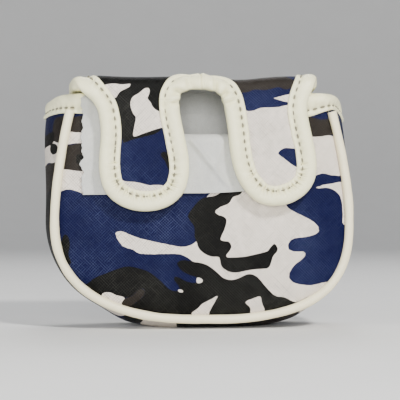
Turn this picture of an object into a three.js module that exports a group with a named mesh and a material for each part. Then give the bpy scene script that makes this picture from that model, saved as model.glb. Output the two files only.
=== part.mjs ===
// A mallet putter head cover: a D-shaped padded pouch that stands on its rounded base, closed by a flap that
// comes over the mouth from the back panel and ends in two tongues, one on each side of the putter's shaft.
// Millimetres. +Z is up, the front faces -Y, and the origin is on the floor under the middle of the pouch.
import * as THREE from "three";

// ---- Driving dimensions ----
const GAP = 0.3; // clearance between neighbouring pieces
const HALF_DEPTH = 22; // the two piped seams lie in the planes y = -22 and y = +22
const RIM_WIDTH = 68.6; // half width of the seam line at its widest
const RIM_HEIGHT = 50; // height of the widest point
const RIM_BOTTOM = 3; // lowest height of the seam line
const RIM_POWER = 2.6; // how square the rounded base is
const BASE_HALF = 12; // half length of the straight stretch at the bottom of the seam line
const MOUTH_HEIGHT = 107; // height of the mouth's edge at the sides
const SEAM_TOP = 97.5; // the piping ends here, under the mouth's binding
const TAPER_FRONT = 8; // how far the front seam leans in by the height TAPER_AT
const TAPER_BACK = 1.5;
const TAPER_AT = 98;
const SCOOP_BOTTOM = 90; // lowest point of the front panel's mouth edge, which leaves room for the shaft
const SCOOP_INNER = 10; // the scoop's flat middle reaches this far out
const SCOOP_OUTER = 50; // and its sides end here

const SHELL = 1.2; // thickness of the coated fabric
const PADDING = 1.2; // of the foam
const LINING = 0.8; // of the brushed lining
const TAPE = 0.9; // of the binding tape
const PATCH = 1.2; // of the hook and loop tape
const BAND = 9.3; // visible width of every binding
const STITCH_INSET = 6.8; // a binding's stitching is this far inside its outer edge
const THREAD = 0.7; // thickness of the stitching thread

const PIPING_R = 2.1;
const PIPING_BORE_R = 1.5;
const PIPING_CORD_R = 1.2;
const CROWN_FRONT = 2.6; // how far the padded panels stand out from the seam planes
const CROWN_BACK = 2;
const BULGE_SIDE = 2.8; // how far the gusset bows out between its seams, halfway up
const BULGE_BASE = 5;
const BULGE_TOP = 6; // where the piping ends
const BULGE_MOUTH = 5.2; // at the mouth's edge

const FOLD_HEIGHT = 111.65; // both fold lines lie in the gap under the flap's top
const FOLD_GAP = 0.15; // from a fold line to the solids on either side of it
const BACK_FOLD_Y = 24.2;
const FRONT_FACE_Y = -33; // outermost face of the tongues' binding
const NECK_HALF = 60; // half width of the flap over the back panel
const NECK_BOTTOM = 99.5; // the neck's binding starts here
const FRONT_HALF = 55; // half width of the flap at its front fold

const TONGUE_X = 29.8; // middle of each tongue at the fold
const TONGUE_R = 20; // radius of its round tip
const TONGUE_TIP = 54.5; // height of the tip
const TONGUE_FLARE = 100; // above this height the outer edge runs out to the flap's width
const TONGUE_LEAN = 0.09; // the flap is closed a little crooked: sideways shift per mm of drop
const HOOK_TOP = 92; // the hook patch reaches up to here

const PATCH_LEFT = -55.5;
const PATCH_RIGHT = 48;
const PATCH_BOTTOM = 61.5;

const COLOURS = {
  shell: 0x23305e,
  padding: 0x9a9a96,
  lining: 0xc4c5c2,
  tape: 0xe4e2d0,
  cord: 0xd8d4c6,
  loop: 0xc8c8c4,
  hook: 0xd6d6d0,
  thread: 0xd9d3b8,
};
const ROUGHNESS = { shell: 0.45, padding: 0.95, lining: 0.9, tape: 0.5, cord: 0.9, loop: 1, hook: 0.8, thread: 0.7 };

// Depths of the three layers below the outer face.
const LAYERS = {
  shell: [0, SHELL],
  padding: [SHELL + GAP, SHELL + GAP + PADDING],
  lining: [SHELL + 2 * GAP + PADDING, SHELL + 2 * GAP + PADDING + LINING],
};
const STACK = LAYERS.lining[1];
const WRAP = GAP + TAPE; // a binding stands out this far from the stack it is folded over
const SEAM_INSET = PIPING_R + GAP; // panels and gusset stop this far from the seam line
const SHELL_REACH = 1 - SEAM_INSET / HALF_DEPTH; // share of the half depth that the gusset's shell covers
const INNER_REACH = 1 - (STACK + GAP) / HALF_DEPTH; // and the share that its inner layers cover

// ---- The pouch's shape ----
const lerp = (a, b, t) => a + (b - a) * t;
const clamp = (t) => Math.min(1, Math.max(0, t));
const smooth = (t) => clamp(t) ** 2 * (3 - 2 * clamp(t));

// Half width of a seam line at height z; side is -1 on the front seam and +1 on the back one.
function rimWidth(z, side) {
  if (z < RIM_HEIGHT) {
    const drop = clamp((RIM_HEIGHT - z) / (RIM_HEIGHT - RIM_BOTTOM));
    return RIM_WIDTH * (1 - drop ** RIM_POWER) ** (1 / RIM_POWER);
  }
  const taper = side < 0 ? TAPER_FRONT : TAPER_BACK;
  return RIM_WIDTH - taper * ((z - RIM_HEIGHT) / (TAPER_AT - RIM_HEIGHT)) ** 1.7;
}

// Heights of the seam line's stations from the mouth down, even steps first and then even angles.
const UPPER_STEPS = 4;
const LOWER_STEPS = 9;
const heights = [MOUTH_HEIGHT];
for (let i = 0; i < UPPER_STEPS; i++) heights.push(lerp(SEAM_TOP, RIM_HEIGHT, i / UPPER_STEPS));
for (let i = 0; i <= LOWER_STEPS; i++) {
  const angle = (i / LOWER_STEPS) * Math.acos((BASE_HALF / RIM_WIDTH) ** (RIM_POWER / 2));
  heights.push(RIM_HEIGHT - (RIM_HEIGHT - RIM_BOTTOM) * Math.sin(angle) ** (2 / RIM_POWER));
}

// A seam line as [x, z] points: down the left side, along the base and up the right side.
function rimLine(side) {
  const left = heights.map((z) => [-rimWidth(z, side), z]);
  const right = left.map(([x, z]) => [-x, z]).reverse();
  return [...left, ...right];
}
const FRONT_RIM = rimLine(-1);
const BACK_RIM = rimLine(1);
const STATIONS = FRONT_RIM.length;

// Outward direction of the front seam line in the XZ plane at a station.
function rimNormal(i) {
  const [ax, az] = FRONT_RIM[Math.max(0, i - 1)];
  const [bx, bz] = FRONT_RIM[Math.min(STATIONS - 1, i + 1)];
  const length = Math.hypot(bx - ax, bz - az);
  return [(bz - az) / length, (ax - bx) / length];
}

// How far the gusset bows out midway between the seams at height z.
function bulge(z) {
  if (z > SEAM_TOP) return lerp(BULGE_TOP, BULGE_MOUTH, (z - SEAM_TOP) / (MOUTH_HEIGHT - SEAM_TOP));
  if (z > RIM_HEIGHT) return lerp(BULGE_SIDE, BULGE_TOP, smooth((z - RIM_HEIGHT) / (SEAM_TOP - RIM_HEIGHT)));
  return lerp(BULGE_SIDE, BULGE_BASE, smooth((RIM_HEIGHT - z) / (RIM_HEIGHT - RIM_BOTTOM)));
}

// A point of the gusset, some depth inside its outer face; across runs from -1 at the front seam to +1.
// The floor flattens the base, so no layer comes lower than its own depth.
function gussetPoint(i, across, depth) {
  const share = (across + 1) / 2;
  const [nx, nz] = rimNormal(i);
  const out = bulge(FRONT_RIM[i][1]) * (1 - across ** 2) - depth;
  const x = lerp(FRONT_RIM[i][0], BACK_RIM[i][0], share) + nx * out;
  const z = FRONT_RIM[i][1] + nz * out;
  return new THREE.Vector3(x, across * HALF_DEPTH, Math.max(z, depth));
}

// How far a padded panel stands out from its seam plane at x, z. The back one is flat where the flap begins.
function crown(x, z, side) {
  const across = 1 - clamp(Math.abs(x) / rimWidth(Math.max(z, RIM_BOTTOM + 1), side)) ** 3;
  const up = 1 - clamp((RIM_HEIGHT - z) / (RIM_HEIGHT - RIM_BOTTOM)) ** 3;
  const most = side < 0 ? CROWN_FRONT : CROWN_BACK * (1 - smooth((z - 75) / (SEAM_TOP - 75)));
  return most * across * up;
}

// Height of the front panel's mouth edge.
function scoop(x) {
  return lerp(SCOOP_BOTTOM, MOUTH_HEIGHT, smooth((Math.abs(x) - SCOOP_INNER) / (SCOOP_OUTER - SCOOP_INNER)));
}

// ---- Solids ----
// A geometry from points and triangles, turned so that its faces point out.
function solid(points, triangles) {
  let volume = 0;
  const normal = new THREE.Vector3();
  for (const [a, b, c] of triangles) volume += points[a].dot(normal.crossVectors(points[b], points[c]));
  const faces = volume < 0 ? triangles.map(([a, b, c]) => [a, c, b]) : triangles;
  const geometry = new THREE.BufferGeometry().setFromPoints(points);
  geometry.setIndex(faces.flat());
  return geometry;
}

// A thick sheet: place(row, column, face) gives the points of its outer face, 0, and its inner face, 1.
function sheet(rows, columns, place) {
  const points = [];
  const triangles = [];
  const at = (i, j, face) => (face * (rows + 1) + i) * (columns + 1) + j;
  const quad = (a, b, c, d) => triangles.push([a, b, c], [a, c, d]);
  for (const face of [0, 1]) {
    for (let i = 0; i <= rows; i++) {
      for (let j = 0; j <= columns; j++) points.push(place(i, j, face));
    }
  }
  for (let i = 0; i < rows; i++) {
    for (let j = 0; j < columns; j++) {
      quad(at(i, j, 0), at(i, j + 1, 0), at(i + 1, j + 1, 0), at(i + 1, j, 0));
      quad(at(i, j, 1), at(i + 1, j, 1), at(i + 1, j + 1, 1), at(i, j + 1, 1));
    }
    quad(at(i, 0, 0), at(i + 1, 0, 0), at(i + 1, 0, 1), at(i, 0, 1));
    quad(at(i, columns, 0), at(i, columns, 1), at(i + 1, columns, 1), at(i + 1, columns, 0));
  }
  for (let j = 0; j < columns; j++) {
    quad(at(0, j, 0), at(0, j, 1), at(0, j + 1, 1), at(0, j + 1, 0));
    quad(at(rows, j, 0), at(rows, j + 1, 0), at(rows, j + 1, 1), at(rows, j, 1));
  }
  return solid(points, triangles);
}

// A closed section of [p, q] points carried along stations, each { origin, p, q } with p and q as directions.
function sweep(stations, section) {
  const n = section.length;
  const points = stations.flatMap(({ origin, p, q }) =>
    section.map(([a, b]) => origin.clone().addScaledVector(p, a).addScaledVector(q, b)),
  );
  const triangles = [];
  for (let i = 0; i + 1 < stations.length; i++) {
    for (let j = 0; j < n; j++) {
      const k = (j + 1) % n;
      triangles.push([i * n + j, (i + 1) * n + k, i * n + k], [i * n + j, (i + 1) * n + j, (i + 1) * n + k]);
    }
  }
  const outline = section.map(([a, b]) => new THREE.Vector2(a, b));
  const clockwise = THREE.ShapeUtils.area(outline) < 0;
  const last = (stations.length - 1) * n;
  for (const [a, b, c] of THREE.ShapeUtils.triangulateShape(outline, [])) {
    triangles.push(clockwise ? [a, c, b] : [a, b, c]);
    triangles.push(clockwise ? [last + a, last + b, last + c] : [last + a, last + c, last + b]);
  }
  return solid(points, triangles);
}

// A flat plate of an [x, z] outline between two values of y.
function plate(outline, front, back) {
  const shape = new THREE.Shape(outline.map(([x, z]) => new THREE.Vector2(x, z)));
  const geometry = new THREE.ExtrudeGeometry(shape, { depth: back - front, bevelEnabled: false });
  return geometry.rotateX(Math.PI / 2).translate(0, back, 0);
}

const ring = (radius, sides, from, to) =>
  Array.from({ length: sides + 1 }, (_, k) => {
    const angle = lerp(from, to, k / sides);
    return [radius * Math.cos(angle), radius * Math.sin(angle)];
  });

// A binding's section: p = 0 at its outer edge and the stack's edge inside it, q = 0 to the folded thickness.
const bindingSection = [
  [0, 0],
  [-BAND, 0],
  [-BAND, TAPE],
  [-TAPE, TAPE],
  [-TAPE, WRAP + STACK + GAP],
  [-BAND, WRAP + STACK + GAP],
  [-BAND, 2 * WRAP + STACK],
  [0, 2 * WRAP + STACK],
];
const threadSection = [
  [0, 0],
  [THREAD, 0],
  [THREAD, THREAD],
  [0, THREAD],
];

const UP = new THREE.Vector3(0, 0, 1);
const FRONT = new THREE.Vector3(0, -1, 0);
const BACK = new THREE.Vector3(0, 1, 0);

// ---- Scene graph ----
const cover = new THREE.Group();
const pouch = new THREE.Group();
const flap = new THREE.Group();
cover.add(pouch, flap);

function add(group, name, geometry, kind) {
  const material = new THREE.MeshStandardMaterial({ color: COLOURS[kind], roughness: ROUGHNESS[kind], metalness: 0 });
  const mesh = new THREE.Mesh(geometry, material);
  mesh.name = name;
  group.add(mesh);
}

const sides = { left: -1, right: 1 };

// ---- Panels and gusset of the pouch, each of a shell, a foam padding and a lining ----
// Rows of a panel below the mouth's binding, each [half width, height], a little inside the seam line.
function seamRows(rim, first) {
  return heights.slice(first).map((_, k) => {
    const [nx, nz] = rimNormal(first + k);
    const [x, z] = rim[first + k];
    return [nx * SEAM_INSET - x, z - nz * SEAM_INSET];
  });
}

const SCOOP_FROM = 75; // above this height the front panel's rows bend towards its mouth edge
function frontPoint(x, z, depth) {
  const bent = z > SCOOP_FROM ? lerp(SCOOP_FROM, scoop(x), (z - SCOOP_FROM) / (MOUTH_HEIGHT - SCOOP_FROM)) : z;
  return new THREE.Vector3(x, -HALF_DEPTH - crown(x, bent, -1) + depth, bent);
}

const backPoint = (x, z, depth) => new THREE.Vector3(x, HALF_DEPTH + crown(x, z, 1) - depth, z);

function panel(rows, columns, depths, point) {
  return sheet(rows.length - 1, columns, (i, j, face) => {
    const [half, z] = rows[i];
    return point(lerp(-half, half, j / columns), z, depths[face]);
  });
}

// The gusset's inner layers stop at the panels' lining; its shell has one more strip along each edge.
const innerStrips = [-3, -2, -1, 0, 1, 2, 3].map((k) => (k / 3) * INNER_REACH);
const shellStrips = [-SHELL_REACH, ...innerStrips, SHELL_REACH];

function gusset(depths, strips) {
  return sheet(STATIONS - 1, strips.length - 1, (i, j, face) => gussetPoint(i, strips[j], depths[face]));
}

const NECK_TOP = FOLD_HEIGHT - FOLD_GAP;
const neckEdge = NECK_HALF - WRAP;
const frontRows = seamRows(FRONT_RIM, 0);
const backRows = [[neckEdge, NECK_TOP], [neckEdge, NECK_BOTTOM - GAP], ...seamRows(BACK_RIM, 1)];
frontRows[0][1] = MOUTH_HEIGHT;

for (const [layer, depths] of Object.entries(LAYERS)) {
  const suffix = layer === "shell" ? "" : `_${layer}`;
  add(pouch, `front_panel${suffix}`, panel(frontRows, 12, depths, frontPoint), layer);
  add(pouch, `back_panel${suffix}`, panel(backRows, 6, depths, backPoint), layer);
  add(pouch, `gusset${suffix}`, gusset(depths, layer === "shell" ? shellStrips : innerStrips), layer);
}

// ---- Piping in the two seams: a strip of tape folded round a cord ----
function seamStations(rim, y) {
  return rim.slice(1, -1).map(([x, z], k) => {
    const [nx, nz] = rimNormal(k + 1);
    return { origin: new THREE.Vector3(x, y, z), p: new THREE.Vector3(nx, 0, nz), q: BACK };
  });
}

const SLIT = 0.25; // half the angle of the opening along the folded strip, in radians
const stripSection = [
  ...ring(PIPING_R, 6, SLIT - Math.PI, Math.PI - SLIT),
  ...ring(PIPING_BORE_R, 6, Math.PI - SLIT, SLIT - Math.PI),
];
for (const [name, rim, y] of [["front", FRONT_RIM, -HALF_DEPTH], ["back", BACK_RIM, HALF_DEPTH]]) {
  add(pouch, `${name}_piping`, sweep(seamStations(rim, y), stripSection), "tape");
  add(pouch, `${name}_piping_cord`, sweep(seamStations(rim, y), ring(PIPING_CORD_R, 6, 0, 2 * Math.PI).slice(1)), "cord");
}

// ---- Mouth bindings, over the gusset's upper edge and round the corner to the front panel ----
// Stations along the mouth's edge, origin on the outer face of the pouch, p out of it and q up along it.
const CORNER_OUT = [1.3, 0.8]; // the binding rounds the corner this far outside the seam, in x and in y
const BEND = 1.8; // and lies flat on the front panel from this far inside it
function mouthStations(side) {
  const stations = [...innerStrips].reverse().map((across) => {
    const origin = gussetPoint(0, across, 0);
    const along = gussetPoint(0, across - 0.1, 0).sub(gussetPoint(0, across + 0.1, 0));
    const up = origin.clone().sub(gussetPoint(1, across, 0)).normalize();
    return { origin, p: along.cross(up).normalize(), q: up };
  });
  const [topX, topZ] = FRONT_RIM[0];
  const slope = new THREE.Vector3(topX - FRONT_RIM[1][0], 0, topZ - FRONT_RIM[1][1]).normalize();
  const outward = new THREE.Vector3(-1, -1, 0);
  outward.addScaledVector(slope, -outward.dot(slope)).normalize();
  const corner = new THREE.Vector3(topX - CORNER_OUT[0], -HALF_DEPTH - CORNER_OUT[1], topZ);
  stations.push({ origin: corner, p: outward, q: slope });
  const onPanel = side > 0 ? [topX + BEND, -PATCH_RIGHT - 6, -PATCH_RIGHT - 0.5] : [topX + BEND];
  for (const x of onPanel) stations.push({ origin: frontPoint(x, MOUTH_HEIGHT, 0), p: FRONT, q: slope });
  const mirror = new THREE.Vector3(-side, 1, 1);
  return stations.map(({ origin, p, q }) => ({
    origin: origin.clone().multiply(mirror),
    p: p.clone().multiply(mirror),
    q: q.clone().multiply(mirror),
  }));
}

const turn = ([p, q]) => [WRAP - q, WRAP + p]; // a binding's section stood on edge, opening down
for (const [name, side] of Object.entries(sides)) {
  const stations = mouthStations(side);
  add(pouch, `mouth_binding_${name}`, sweep(stations, bindingSection.map(turn)), "tape");
  const row = threadSection.map(([p, q]) => [WRAP + GAP + p, WRAP - STITCH_INSET + q]);
  add(pouch, `mouth_thread_${name}`, sweep(stations, row), "thread");
}

// ---- Loop patch, sewn to the front panel below the mouth ----
add(
  pouch,
  "loop_patch",
  sheet(4, 10, (i, j, face) => {
    const x = lerp(PATCH_LEFT, PATCH_RIGHT, j / 10);
    const z = lerp(PATCH_BOTTOM, scoop(x), i / 4);
    const y = -HALF_DEPTH - crown(x, z, -1) - GAP - (face ? 0 : PATCH);
    return new THREE.Vector3(x, y, z);
  }),
  "loop",
);

// ---- Neck: the back panel's upper edge, with its bindings ----
for (const [name, side] of Object.entries(sides)) {
  const out = new THREE.Vector3(side, 0, 0);
  const stations = [NECK_BOTTOM, NECK_TOP].map((z) => ({
    origin: new THREE.Vector3(side * NECK_HALF, HALF_DEPTH + WRAP, z),
    p: out,
    q: FRONT,
  }));
  add(pouch, `neck_binding_${name}`, sweep(stations, bindingSection), "tape");
}

// ---- Face of the flap, over the mouth ----
const FACE_BOTTOM = FOLD_HEIGHT + FOLD_GAP; // underside of its bindings
const FACE_TOP = FACE_BOTTOM + 2 * WRAP + STACK;
const FACE_BACK = BACK_FOLD_Y - GAP;
const halfWidth = (y) => lerp(NECK_HALF, FRONT_HALF, (FACE_BACK - y) / (FACE_BACK - FRONT_FACE_Y));

function faceLayer([outer, inner]) {
  const front = FRONT_FACE_Y + WRAP;
  return sheet(1, 1, (i, j, face) => {
    const y = i ? FACE_BACK : front;
    const half = halfWidth(y) - WRAP;
    return new THREE.Vector3(j ? half : -half, y, FACE_TOP - WRAP - (face ? inner : outer));
  });
}

for (const [layer, depths] of Object.entries(LAYERS)) {
  add(flap, layer === "shell" ? "face_flap" : `face_flap_${layer}`, faceLayer(depths), layer);
}
for (const [name, side] of Object.entries(sides)) {
  const out = new THREE.Vector3(side, 0, 0);
  const stations = [FACE_BACK, FRONT_FACE_Y + WRAP].map((y) => ({
    origin: new THREE.Vector3(side * halfWidth(y), y, FACE_BOTTOM),
    p: out,
    q: UP,
  }));
  add(flap, `face_binding_${name}`, sweep(stations, bindingSection), "tape");
}
const NOTCH_HALF = TONGUE_X - TONGUE_R;
const notchStations = [-1, 1].map((side) => ({
  origin: new THREE.Vector3(side * (NOTCH_HALF - 2 * GAP), FRONT_FACE_Y, FACE_BOTTOM),
  p: FRONT,
  q: UP,
}));
add(flap, "notch_binding", sweep(notchStations, bindingSection), "tape");

// ---- Tongues ----
// A tongue's outline from the top of its outer edge round the tip to the top of its inner edge, some way
// inside the binding's outer edge, as [x, z]; the sideways lean is included.
const TIP_STEPS = 12;
function tongueLine(side, inset, top) {
  const middle = TONGUE_TIP + TONGUE_R;
  const reach = TONGUE_R - inset;
  const tip = ring(reach, TIP_STEPS, 0, -Math.PI).map(([x, z]) => [x, middle + z]);
  const flared = FRONT_HALF - TONGUE_X - inset;
  const shoulder = top > TONGUE_FLARE ? [[flared, top], [reach, TONGUE_FLARE]] : [[reach, top]];
  const line = [...shoulder, ...tip, [-reach, top]];
  return line.map(([x, z]) => [side * (TONGUE_X + x) + TONGUE_LEAN * (NECK_TOP - z), z]);
}

// Stations along a tongue's edge at a depth y, p pointing out of the tongue in its own plane.
function tongueStations(side, inset, y, top) {
  const line = tongueLine(side, inset, top);
  return line.map(([x, z], i) => {
    const [ax, az] = line[Math.max(0, i - 1)];
    const [bx, bz] = line[Math.min(line.length - 1, i + 1)];
    const p = new THREE.Vector3((az - bz) * side, 0, (bx - ax) * side).normalize();
    if (i === 0 || i === line.length - 1) p.set(Math.sign(p.x), 0, 0);
    return { origin: new THREE.Vector3(x, y, z), p, q: BACK };
  });
}

for (const [name, side] of Object.entries(sides)) {
  const tongue = new THREE.Group();
  flap.add(tongue);
  const face = FRONT_FACE_Y + WRAP;
  for (const [layer, [outer, inner]] of Object.entries(LAYERS)) {
    const suffix = layer === "shell" ? "" : `_${layer}`;
    const shape = tongueLine(side, WRAP, NECK_TOP);
    add(tongue, `tongue_${name}${suffix}`, plate(shape, face + outer, face + inner), layer);
  }
  const hookFront = face + STACK + GAP;
  const hookShape = tongueLine(side, BAND + 3 * GAP, HOOK_TOP);
  add(tongue, `hook_patch_${name}`, plate(hookShape, hookFront, hookFront + PATCH), "hook");
  const edge = tongueStations(side, 0, FRONT_FACE_Y, NECK_TOP);
  add(tongue, `tongue_binding_${name}`, sweep(edge, bindingSection), "tape");
  const row = tongueStations(side, STITCH_INSET, FRONT_FACE_Y - GAP - THREAD, NECK_TOP);
  add(tongue, `tongue_thread_${name}`, sweep(row, threadSection), "thread");
}

export default cover;
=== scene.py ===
"""The looks of a mallet putter head cover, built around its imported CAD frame.

Lengths are in millimetres until a mesh is made. x is to the right, y to the back, z up. The flap is laid out
flat as (x, w): w is the height on the front tongues, and past the front fold it goes on along the fabric.
"""

import math

import bmesh
import bpy
import numpy as np
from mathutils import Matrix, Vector


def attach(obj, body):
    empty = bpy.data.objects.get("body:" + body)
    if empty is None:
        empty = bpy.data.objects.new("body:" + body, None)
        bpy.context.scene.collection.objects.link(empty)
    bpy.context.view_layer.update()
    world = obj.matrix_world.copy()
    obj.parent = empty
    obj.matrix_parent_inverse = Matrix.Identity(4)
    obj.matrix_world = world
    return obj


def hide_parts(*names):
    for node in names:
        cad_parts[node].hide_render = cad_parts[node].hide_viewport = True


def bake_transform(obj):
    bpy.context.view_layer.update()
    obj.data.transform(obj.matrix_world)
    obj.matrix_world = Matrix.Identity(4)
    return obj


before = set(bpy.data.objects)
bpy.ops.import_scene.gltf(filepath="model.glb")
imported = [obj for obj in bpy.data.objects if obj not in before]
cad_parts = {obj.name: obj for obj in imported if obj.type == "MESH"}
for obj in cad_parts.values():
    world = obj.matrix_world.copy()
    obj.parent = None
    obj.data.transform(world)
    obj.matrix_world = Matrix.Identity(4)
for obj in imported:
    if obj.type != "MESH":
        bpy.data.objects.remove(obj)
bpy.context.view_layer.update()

MM = 0.001
UV_MM = 100.0  # one unit of a layout map is this many mm

# ---- Driving dimensions, those of the CAD frame or close to them ----
HALF_DEPTH = 22.0  # from the middle to each piped seam
RIM_HEIGHT = 50.0  # where the seam line is widest
RIM_BOTTOM = 3.2
RIM_WIDTH = {-1: 68.3, 1: 69.4}  # half widths of the seam line, left and right: it is a little lopsided
RIM_POWER = {-1: 2.45, 1: 2.85}  # how square its lower corners are
TAPER_FRONT = {-1: 6.6, 1: 7.6}  # how far each side of the front seam leans in at TAPER_AT
TAPER_BACK = 1.5
TAPER_AT = 98.0
TAPER_POWER = 1.7
MOUTH_HEIGHT = 107.0
SEAM_TOP = 97.5  # the mouth bindings cover the seams from here up
SCOOP_BOTTOM = 88.6
SCOOP_INNER = 10.0
SCOOP_OUTER = 50.0
SCOOP_FROM = 75.0  # above this the front panel's rows bend down to the scoop, and the back panel goes flat
SHELL = 1.2  # the synthetic leather
STACK = 3.8  # leather, foam and lining together
STITCH_INSET = 6.8
PIPING_R = 2.1
CROWN_FRONT = 2.6
CROWN_BACK = 2.0
TUCK = 2.4  # the two linings tuck under one another over this length
TUCK_DEPTH = 0.9
LIFT = 1.5  # the base bulges this far below z = 0 of the sizes above, so all is made this much higher

# ---- Small helpers ----


def lerp(a, b, t):
    return a + (b - a) * t


def smooth(t):
    t = np.clip(t, 0.0, 1.0)
    return t * t * (3.0 - 2.0 * t)


def unit(v):
    v = np.asarray(v, float)
    return v / np.maximum(np.linalg.norm(v, axis=-1, keepdims=True), 1e-9)


def spline(points, count, closed=False):
    """A smooth curve through given points, sampled evenly along its length."""
    p = np.asarray(points, float)
    if closed:
        p = np.vstack([p[-1:], p, p[:2]])
    else:
        p = np.vstack([2 * p[0] - p[1], p, 2 * p[-1] - p[-2]])
    t = np.linspace(0, 1, 16, endpoint=False)[:, None]
    parts = []
    for a, b, c, d in zip(p[:-3], p[1:-2], p[2:-1], p[3:]):
        low_terms = 2 * b + (c - a) * t + (2 * a - 5 * b + 4 * c - d) * t**2
        parts.append(0.5 * (low_terms + (3 * b - a - 3 * c + d) * t**3))
    curve = np.vstack(parts + [p[-2:-1]])
    return resample(curve, count)


def arc_length(curve):
    """The length along a curve at each of its points."""
    return np.concatenate([[0], np.cumsum(np.linalg.norm(np.diff(curve, axis=0), axis=1))])


def resample(curve, count):
    length = arc_length(curve)
    at = np.linspace(0, length[-1], count)
    return np.stack([np.interp(at, length, curve[:, k]) for k in range(curve.shape[1])], axis=1)


def hump(distance, width):
    """A smooth hump of height 1 where the distance is 0."""
    return np.exp(-((distance / width) ** 2))


def ripple(*coords, seed, waves=9, scale=1.0):
    """A smooth, repeatable unevenness between about -1 and 1."""
    rng = np.random.default_rng(seed)
    total = 0.0
    for _ in range(waves):
        direction = rng.normal(size=len(coords))
        phase = rng.uniform(0, 2 * math.pi)
        total = total + np.cos(sum(d * c for d, c in zip(direction, coords)) / scale + phase)
    return total / math.sqrt(waves)


# ---- Meshes ----


def make_object(name, points, faces, material, uv=None, fields=None, flat=(), lift=LIFT):
    """A smooth-shaded mesh of points in mm; flat lists the faces that keep hard edges."""
    mesh = bpy.data.meshes.new(name)
    mesh.from_pydata(((np.asarray(points) + (0, 0, lift)) * MM).tolist(), [], faces)
    mesh.validate()
    work = bmesh.new()
    work.from_mesh(mesh)
    bmesh.ops.recalc_face_normals(work, faces=work.faces)
    work.to_mesh(mesh)
    work.free()
    if uv is not None:
        layer = mesh.uv_layers.new(name="layout")
        loops = np.zeros(len(mesh.loops), np.int32)
        mesh.loops.foreach_get("vertex_index", loops)
        layer.data.foreach_set("uv", (np.asarray(uv) / UV_MM)[loops].astype(np.float32).ravel())
    for key, values in (fields or {}).items():
        attribute = mesh.attributes.new(key, "FLOAT", "POINT")
        attribute.data.foreach_set("value", np.asarray(values, np.float32))
    shading = np.full(len(mesh.polygons), True)
    shading[list(flat)] = False
    mesh.polygons.foreach_set("use_smooth", shading)
    mesh.materials.append(material)
    obj = bpy.data.objects.new(name, mesh)
    bpy.context.scene.collection.objects.link(obj)
    return obj


def grid_faces(rows, columns, offset=0, wrap=False):
    """Quads of a grid of points, rows by columns; wrap joins the last column to the first."""
    faces = []
    for i in range(rows - 1):
        for j in range(columns if wrap else columns - 1):
            k = (j + 1) % columns
            quad = (i * columns + j, i * columns + k, (i + 1) * columns + k, (i + 1) * columns + j)
            faces.append(tuple(offset + v for v in quad))
    return faces


def thick_sheet(name, outer, inner, material, uv=None, fields=None):
    """A closed sheet between two grids of points, each rows x columns x 3."""
    rows, columns = outer.shape[:2]
    count = rows * columns
    faces = grid_faces(rows, columns) + grid_faces(rows, columns, count)
    ring = list(range(columns))
    ring += [i * columns + columns - 1 for i in range(1, rows)]
    ring += [(rows - 1) * columns + j for j in range(columns - 2, -1, -1)]
    ring += [i * columns for i in range(rows - 2, 0, -1)]
    flat = range(len(faces), len(faces) + len(ring))
    faces += [(b, a, a + count, b + count) for a, b in zip(ring, ring[1:] + ring[:1])]
    points = np.vstack([outer.reshape(-1, 3), inner.reshape(-1, 3)])
    uv = None if uv is None else np.vstack([uv.reshape(-1, 2)] * 2)
    fields = {k: np.concatenate([v.ravel()] * 2) for k, v in (fields or {}).items()}
    return make_object(name, points, faces, material, uv, fields, flat)


def swept(name, sections, material):
    """A closed section carried along a path: sections is stations x points x 3. The ends are capped."""
    stations, count = sections.shape[:2]
    faces = grid_faces(stations, count, wrap=True)
    faces.append(tuple(range(count)))
    faces.append(tuple((stations - 1) * count + k for k in range(count)))
    return make_object(name, sections.reshape(-1, 3), faces, material, flat=(len(faces) - 2, len(faces) - 1))


def tube_sections(path, radius, sides, over):
    """Round sections of a tube along a path; over is any direction that the path never takes."""
    tangent = unit(np.gradient(path, axis=0))
    side = unit(np.cross(tangent, over))
    top = np.cross(side, tangent)
    angle = np.linspace(0, 2 * math.pi, sides, endpoint=False)[None, :, None]
    radius = np.broadcast_to(radius, len(path))[:, None, None]
    return path[:, None] + radius * (side[:, None] * np.cos(angle) + top[:, None] * np.sin(angle))


def join(name, objects):
    """One object from several, joined without touching the selection."""
    target = objects[0]
    with bpy.context.temp_override(active_object=target, selected_editable_objects=objects):
        bpy.ops.object.join()
    target.name = name
    return target


# ---- Materials ----


def linear(colour):
    """sRGB 0 to 255 as linear RGBA."""
    c = np.array(colour) / 255.0
    c = np.where(c <= 0.04045, c / 12.92, ((c + 0.055) / 1.055) ** 2.4)
    return (*c.tolist(), 1.0)


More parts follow.
